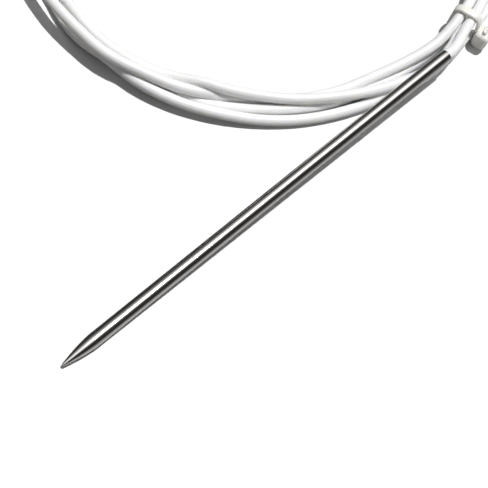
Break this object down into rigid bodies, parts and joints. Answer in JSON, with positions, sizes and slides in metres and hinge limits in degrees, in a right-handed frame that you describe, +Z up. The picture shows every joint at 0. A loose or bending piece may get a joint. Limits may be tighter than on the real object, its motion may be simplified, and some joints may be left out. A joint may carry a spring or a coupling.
{
  "type": "thermocouple probe",
  "caption": "Thermocouple probe with a pointed polished steel sheath and a white insulated lead, coiled and held by a cable tie.",
  "frame": {"origin": "middle of the sheath's footprint on the surface that the probe lies on", "axes": "+X along the sheath from its point to its rear end, +Y across the sheath towards the middle of the lead's coil, +Z up"},
  "size_m": [0.2247, 0.1531, 0.012],
  "materials": {
    "polished_steel": "polished stainless steel tube",
    "weld_metal": "as welded",
    "thermocouple_alloy": "drawn wire",
    "fired_ceramic": "unglazed",
    "tinned_copper": "tin plated",
    "potting_resin": "cast resin",
    "white_insulation": "extruded white insulation",
    "natural_nylon": "moulded natural nylon",
    "heat_shrink": "white heat-shrink tube",
    "red_sleeve": "coloured sleeve",
    "blue_sleeve": "coloured sleeve"
  },
  "bodies": {
    "root": {"sheath": "polished_steel", "junction_bead": "weld_metal", "wire_positive": "thermocouple_alloy", "wire_negative": "thermocouple_alloy", "insulator_1": "fired_ceramic", "insulator_2": "fired_ceramic", "insulator_3": "fired_ceramic", "insulator_4": "fired_ceramic", "insulator_5": "fired_ceramic", "splice_positive": "tinned_copper", "splice_negative": "tinned_copper", "core_positive": "tinned_copper", "core_negative": "tinned_copper", "seal_plug": "potting_resin", "lead_run": "white_insulation", "lead_coil": "white_insulation", "cable_tie": "natural_nylon", "lead_tail": "white_insulation", "end_sleeve": "heat_shrink", "tail_positive": "white_insulation", "tail_negative": "white_insulation", "terminal_positive": "tinned_copper", "terminal_negative": "tinned_copper", "terminal_sleeve_positive": "red_sleeve", "terminal_sleeve_negative": "blue_sleeve"}
  },
  "joints": []
}
